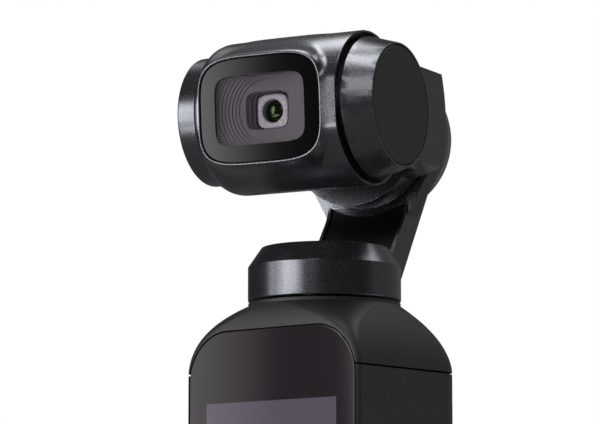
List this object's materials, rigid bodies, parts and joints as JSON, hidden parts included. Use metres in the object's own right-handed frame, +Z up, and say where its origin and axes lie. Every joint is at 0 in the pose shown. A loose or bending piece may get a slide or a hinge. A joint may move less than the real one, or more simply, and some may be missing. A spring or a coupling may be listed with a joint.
{
  "type": "pocket gimbal camera",
  "caption": "Slim hand-held camera: a small barrel-shaped camera on a three-axis motor gimbal above a flat handle with a square touch screen.",
  "frame": {"origin": "centre of the handle's flat base, on the pan axis", "axes": "+Z up along the handle and the pan axis, -Y out of the screen, +X to the right as the screen is faced; stored with the head panned 10.75 degrees and pitched 3.7 degrees down, as pictured"},
  "size_m": [0.0324, 0.0399, 0.1226],
  "materials": {
    "handle_plastic": "fine speckled texture, dark grey",
    "cover_glass": "glossy, purple-black glass, opaque behind",
    "display": "dark display behind the glass",
    "backlight": "diffuse white",
    "frame_metal": "cast, satin",
    "battery_wrap": "satin pouch",
    "circuit_board": "solder mask, satin",
    "chip_resin": "matt black resin",
    "sheet_steel": "bright sheet",
    "copper": "satin copper",
    "card_plastic": "matt black",
    "gold_contacts": "polished",
    "cover_plastic": "matt black",
    "button_plastic": "fine matt",
    "red_mark": "gloss red",
    "light_pipe": "clear light pipe",
    "screw_steel": "dark steel",
    "gimbal_metal": "anodised or painted charcoal with a fine metallic grain, satin",
    "inner_metal": "machined, satin",
    "motor_steel": "laminated, satin",
    "coil_copper": "enamelled winding",
    "magnet_nickel": "nickel plated",
    "arm_black": "matt black",
    "flex_film": "amber film",
    "disc_metal": "satin charcoal",
    "window_glass": "coated, glossy",
    "baffle_plastic": "matt grey",
    "lens_ring": "light grey, fine grain",
    "lens_black": "matt black",
    "lens_glass": "coated green-yellow",
    "sensor_glass": "gloss"
  },
  "bodies": {
    "handle": {"top_cap": "handle_plastic", "handle_shell": "handle_plastic", "base_cap": "handle_plastic", "screen_glass": "cover_glass", "touch_film": "cover_glass", "display_panel": "display", "display_backlight": "backlight", "inner_frame": "frame_metal", "battery_cell": "battery_wrap", "main_board": "circuit_board", "board_chips": "chip_resin", "shield_can": "sheet_steel", "heat_spreader": "copper", "usb_socket": "sheet_steel", "card_socket": "sheet_steel", "port_contacts": "gold_contacts", "button_board": "circuit_board", "button_switches": "sheet_steel", "status_light": "light_pipe", "microphones": "gold_contacts", "frame_screws": "screw_steel", "pan_base": "inner_metal", "pan_bearings": "sheet_steel", "pan_stator": "motor_steel", "pan_coils": "coil_copper"},
    "memory_card": {"memory_card": "card_plastic"},
    "port_cover": {"port_cover": "cover_plastic"},
    "record_button": {"record_button": "button_plastic", "record_mark": "red_mark"},
    "function_button": {"function_button": "button_plastic"},
    "pan": {"pan_collar": "gimbal_metal", "pan_rotor": "inner_metal", "pan_magnets": "magnet_nickel", "pan_arm": "gimbal_metal", "arm_cover": "arm_black", "arm_flex": "flex_film", "arm_screws": "screw_steel", "roll_bearings": "sheet_steel", "roll_stator": "motor_steel", "roll_coils": "coil_copper", "roll_cover": "gimbal_metal"},
    "roll": {"roll_bracket": "gimbal_metal", "roll_magnets": "magnet_nickel", "tilt_bearings": "sheet_steel", "tilt_stator": "motor_steel", "tilt_coils": "coil_copper", "tilt_cover": "disc_metal"},
    "camera": {"front_shell": "gimbal_metal", "rear_shell": "gimbal_metal", "end_cap": "disc_metal", "window_glass": "window_glass", "light_baffle": "baffle_plastic", "filter_magnets": "magnet_nickel", "lens_surround": "lens_ring", "lens_barrel": "lens_black", "lens_elements": "lens_glass", "image_sensor": "sensor_glass", "sensor_board": "circuit_board", "tilt_rotor": "inner_metal", "tilt_magnets": "magnet_nickel"}
  },
  "joints": [
    {"name": "pan", "type": "hinge", "parent": "handle", "child": "pan", "pos_m": [0, 0, 0.11195], "axis": [0, 0, 1], "range_deg": [-280.75, 59.25]},
    {"name": "roll", "type": "hinge", "parent": "pan", "child": "roll", "pos_m": [0, 0, 0.11195], "axis": [-0.1865, 0.9825, 0], "range_deg": [-45, 45]},
    {"name": "tilt", "type": "hinge", "parent": "roll", "child": "camera", "pos_m": [0.00149, -0.00786, 0.11195], "axis": [0.9825, 0.1865, 0], "range_deg": [-73.7, 176.3]},
    {"name": "card_slide", "type": "slide", "parent": "handle", "child": "memory_card", "axis": [-1, 0, 0], "range_m": [0, 0.015]},
    {"name": "port_cover_slide", "type": "slide", "parent": "handle", "child": "port_cover", "axis": [0, -1, 0], "range_m": [0, 0.006]},
    {"name": "record_press", "type": "slide", "parent": "handle", "child": "record_button", "axis": [0, 1, 0], "range_m": [0, 0.00035], "stiffness_N_per_m": 2000},
    {"name": "function_press", "type": "slide", "parent": "handle", "child": "function_button", "axis": [0, 1, 0], "range_m": [0, 0.00035], "stiffness_N_per_m": 2000}
  ]
}
